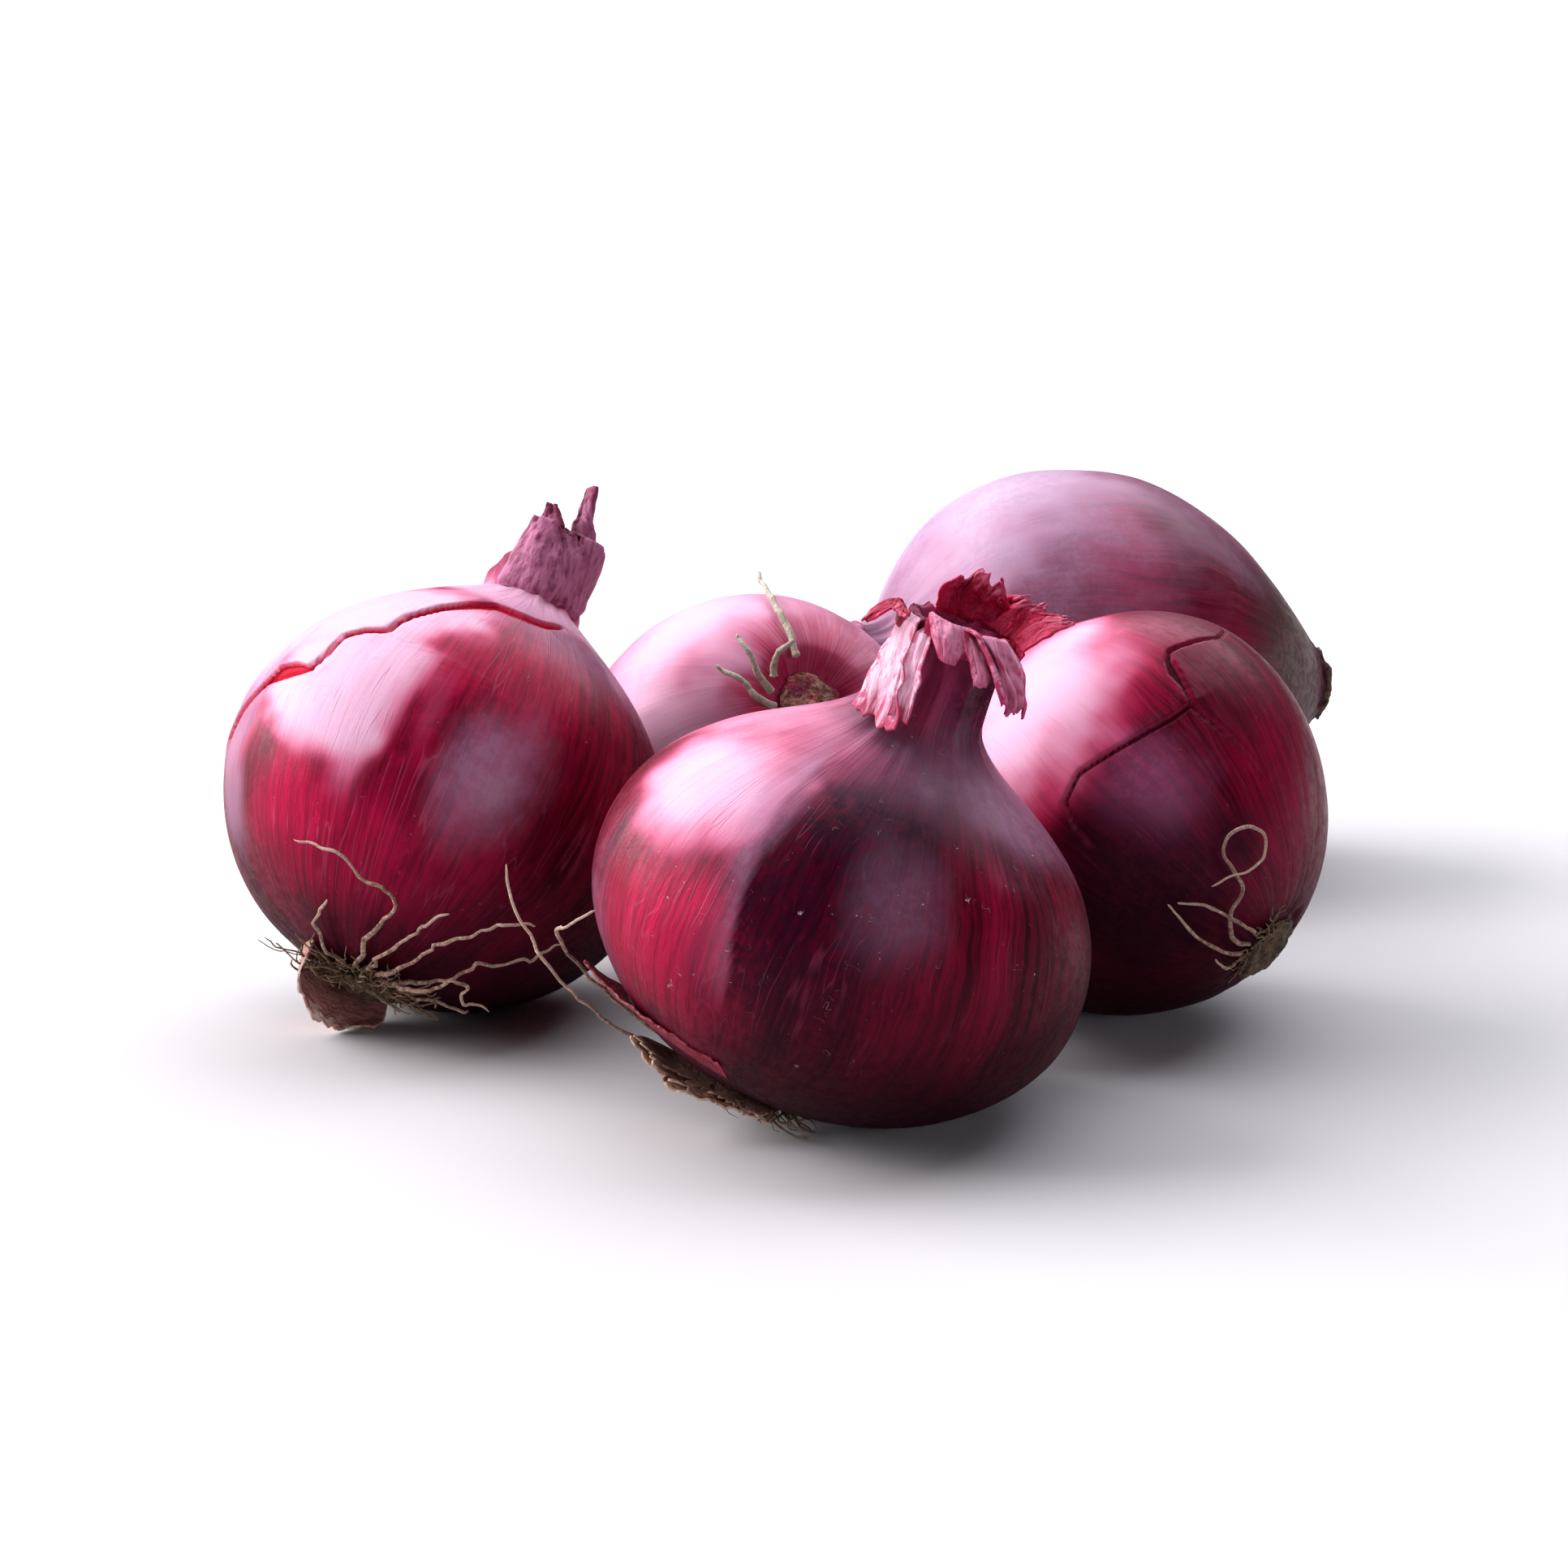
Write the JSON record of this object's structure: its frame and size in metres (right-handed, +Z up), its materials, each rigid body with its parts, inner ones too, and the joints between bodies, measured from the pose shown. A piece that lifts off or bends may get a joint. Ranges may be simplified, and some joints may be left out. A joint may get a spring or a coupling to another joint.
{
  "type": "bunch of onions",
  "caption": "Loose bunch of red onions resting on a surface, with rounded bulbs, ribbed necks, torn dry leaves, papery skin flaps and wiry roots.",
  "frame": {"origin": "middle of the bunch's box in plan, on the surface that the bulbs rest on", "axes": "+Z up, +Y along the bunch's longest side, away from the front onion, +X to the right seen from the front onion"},
  "size_m": [0.2, 0.2352, 0.0873],
  "materials": {
    "crimson_skin": "smooth papery onion skin, satin, crimson with pale pink streaks",
    "purple_skin": "smooth papery onion skin, satin, dark purple red with a lilac bloom",
    "pale_skin": "smooth papery onion skin, satin, dusty pink",
    "dry_pink_leaf": "dry papery leaf, matte, dusty pink with fine veins",
    "dry_red_skin": "dry papery leaf or skin, matte, crimson",
    "root_plate": "corky brown root plate, rough",
    "root_husk": "fibrous brown papery husk, rough",
    "root": "dry straw-coloured root, rough"
  },
  "bodies": {
    "root": {"front_bulb": "purple_skin", "front_neck_leaf_back": "dry_red_skin", "front_neck_leaf_edge": "dry_red_skin", "front_neck_leaf_hanging": "dry_pink_leaf", "front_neck_leaf_left": "dry_pink_leaf", "front_neck_leaf_middle": "dry_pink_leaf", "front_neck_leaf_right": "dry_red_skin", "front_root_bent": "root", "front_root_long": "root", "front_root_plate": "root_plate", "front_root_skirt": "root_husk", "front_skin_flap": "dry_red_skin", "left_bulb": "crimson_skin", "left_neck_leaf_outer": "dry_pink_leaf", "left_neck_leaf_tip": "dry_pink_leaf", "left_root_1": "root", "left_root_2": "root", "left_root_3": "root", "left_root_4": "root", "left_root_5": "root", "left_root_6": "root", "left_root_7": "root", "left_root_plate": "root_plate", "left_skin_flap": "dry_red_skin", "middle_bulb": "pale_skin", "middle_neck_leaf": "dry_pink_leaf", "middle_root_1": "root", "middle_root_2": "root", "middle_root_3": "root", "middle_root_4": "root", "middle_root_plate": "root_plate", "rear_bulb": "purple_skin", "rear_neck_leaf": "dry_red_skin", "rear_root_plate": "root_plate", "right_bulb": "crimson_skin", "right_neck_leaf": "dry_pink_leaf", "right_root_1": "root", "right_root_2": "root", "right_root_3": "root", "right_root_4": "root", "right_root_plate": "root_plate"}
  },
  "joints": []
}
